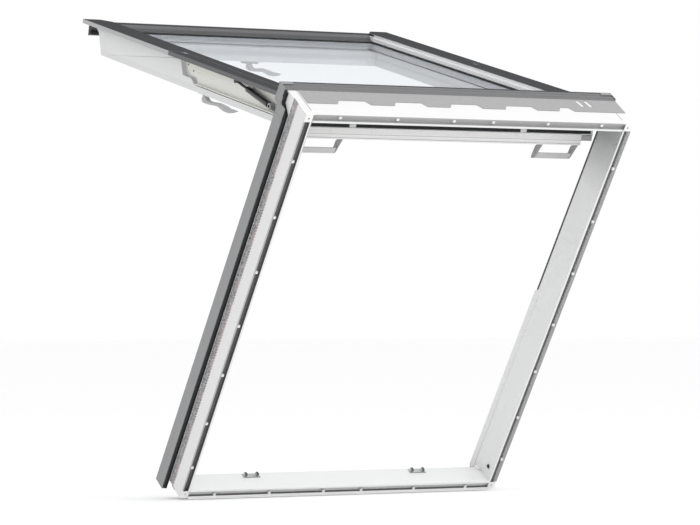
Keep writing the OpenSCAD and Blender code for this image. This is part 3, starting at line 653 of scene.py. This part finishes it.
glass, tree, shader = new_material("clear_glass", 0.0, reflect=0.0)
shader.inputs["Transmission Weight"].default_value = 1.0
shader.inputs["IOR"].default_value = 1.02
tint = wire(tree, "ShaderNodeTexNoise",
            {"Vector": wire(tree, "ShaderNodeTexCoord").outputs["Object"], "Scale": 1.5})
ramp = wire(tree, "ShaderNodeValToRGB", {0: tint.outputs["Fac"]})
ramp.color_ramp.elements[0].color = (0.93, 0.945, 0.965, 1)
ramp.color_ramp.elements[1].color = (0.945, 0.96, 0.975, 1)
tree.links.new(ramp.outputs["Color"], shader.inputs["Base Color"])
wear("outer_pane", glass)
wear("inner_pane", glass)
spacer = moulding("spacer", (0.60, 0.61, 0.63), 0.5, swing=open_angle, cloud=0.1)
wear("pane_spacer", spacer)
soft_copy("glazing_gasket", "sash", opened, 0.0006,
          [(moulding("glazing_rubber", (0.045, 0.047, 0.05), 0.7, swing=open_angle, cloud=0.2,
                     reflect=0.15), None)])


# ---------------------------------------------------------------- sash covers
# Folded aluminium round the glass, one coat in painted light and shade: painted dark on top,
# with no reflection, and paler on the turned-down edges that face sideways. The two profiles
# beside the glass are bare and bright, their brightness partly a painted highlight.

# Painted shade on the upward faces: the coat made darker, with its reflection taken away
sash_cover_top = lacquer("sash_cover_top", (0.070, 0.071, 0.075), 0.6, swing=open_angle,
                         reflect=0.0)
sash_cover_side_painted_light = lacquer("sash_cover_side_painted_light", (0.40, 0.402, 0.407), 0.42, swing=open_angle,
                          reflect=0.4)
sash_cover_face_painted_shade = lacquer("sash_cover_face_painted_shade", (0.11, 0.111, 0.115), 0.45, swing=open_angle,
                          reflect=0.3)
# Pale bare metal, its colour raised in part as a painted highlight
bare = lacquer("bare_aluminium", (0.92, 0.92, 0.93), 0.35, swing=open_angle, metallic=0.15)
sash_fold_y = 0.155
for hand in ("left", "right"):
    soft_copy("sash_cover_" + hand, "sash", opened, 0.0003,
              [(sash_cover_top, lambda n, m: n.y > mostly), (sash_cover_side_painted_light, None)])
soft_copy("sash_cover_bottom", "sash", opened, 0.0003,
          [(sash_cover_top, lambda n, m: n.z < -slightly or m.y > sash_fold_y),
           (sash_cover_face_painted_shade, None)])
soft_copy("sash_cover_top", "sash", opened, 0.0003, [(sash_cover_top, None)])
soft_copy("glazing_profiles", "sash", opened, 0.0003, [(bare, None)])
wear("drip_gasket", rubber)
wear("pivot_bush_left", lacquer("brass", (0.55, 0.42, 0.22), 0.35, metallic=0.8))
wear("pivot_bush_right", bpy.data.materials["brass"])


# ---------------------------------------------------------------- ventilation flap
# A pale extruded flap with moulded grey end blocks, a black brush seal behind it, round caps
# over its screws, and two stirrup grips below.

flap_white = lacquer("flap_white", (0.73, 0.73, 0.725), 0.45, swing=open_angle, streak=0.04)
flap_underside_painted_shade = lacquer("flap_underside_painted_shade", (0.36, 0.36, 0.36), 0.5, swing=open_angle)
grey_plastic = moulding("grey_plastic", (0.38, 0.38, 0.38), 0.5, swing=open_angle)
# The loops' metal in two tones: the arms' darker tone is painted shade, the bar's paler tone painted highlight
grip_metal = lacquer("handle_metal", (0.27, 0.27, 0.27), 0.38, swing=open_angle, streak=0.06)
grip_bar_painted_highlight = lacquer("grip_bar_painted_highlight", (0.47, 0.47, 0.47), 0.38, swing=open_angle, streak=0.06)
tree, place, split = own_parts(flap_white)
flap_face_z = (1.3520, 1.3560)
on_face = in_range(tree, split.outputs["Z"], *flap_face_z)
for line_y, colour in (((0.0455, 0.0475), (0.50, 0.50, 0.50)),
                       ((0.0345, 0.0365), (0.42, 0.42, 0.42))):
    tinted(flap_white, product(tree, in_range(tree, split.outputs["Y"], *line_y), on_face),
           colour)

# The brush of the seal, with the pale clips that hold it
brush = moulding("seal_brush", (0.018, 0.019, 0.02), 0.75, swing=open_angle, cloud=0.3,
                 grain=0.3, reflect=0.2)
tree, place, split = own_parts(brush)
for clip_x in ((-0.330, -0.308), (0.270, 0.292)):
    tinted(brush, in_range(tree, split.outputs["X"], *clip_x), (0.60, 0.60, 0.60))
wear("vent_seal", brush)
soft_copy("vent_end_blocks", "sash", opened, 0.0008, [(grey_plastic, None)],
          least=0.004)
lower_part_y = 0.05
line_end_x = 0.49
# The flap's downward faces along its lower part are painted grey as shade
soft_copy("vent_flap", "flap", opened, 0.0008,
          [(flap_underside_painted_shade, lambda n, m: n.z < -slightly and m.y < lower_part_y
            and abs(m.x) < line_end_x), (flap_white, None)], least=0.006)

# The bar of each loop is paler than its two arms: painted highlight on the bar, painted shade on the arms
left_loop_x = -0.472
right_loop_x = 0.362
bar_along = (0.0055, 0.1285)


def on_bar(n, m):
    start = left_loop_x if m.x < 0 else right_loop_x
    return bar_along[0] < m.x - start < bar_along[1]


soft_copy("pull_loops", "flap", opened, 0.0008,
          [(grip_bar_painted_highlight, on_bar), (grip_metal, None)], least=0.004)
soft_copy("vent_caps", "flap", opened, 0.0002, [(flap_white, None)],
          least=0.0005)


# ---------------------------------------------------------------- lock and handles
# Cast levers, lacquered light grey, with a round neck in an oval plate. The lower one turns
# the lock; a steel face plate lies under it.

handle_grey = lacquer("handle_grey", (0.44, 0.44, 0.445), 0.32, swing=open_angle, streak=0.04)
wear("lock_case", steel)
wear("lock_bolts", steel)
for base, lever, body in (("handle_base", "handle_lever", "handle"),
                          ("side_handle_base", "side_handle_lever", "side_handle")):
    soft_copy(base, "sash", opened, 0.0012, [(handle_grey, None)], least=0.001)
    soft_copy(lever, body, opened, 0.0015, [(handle_grey, None)], least=0.003)
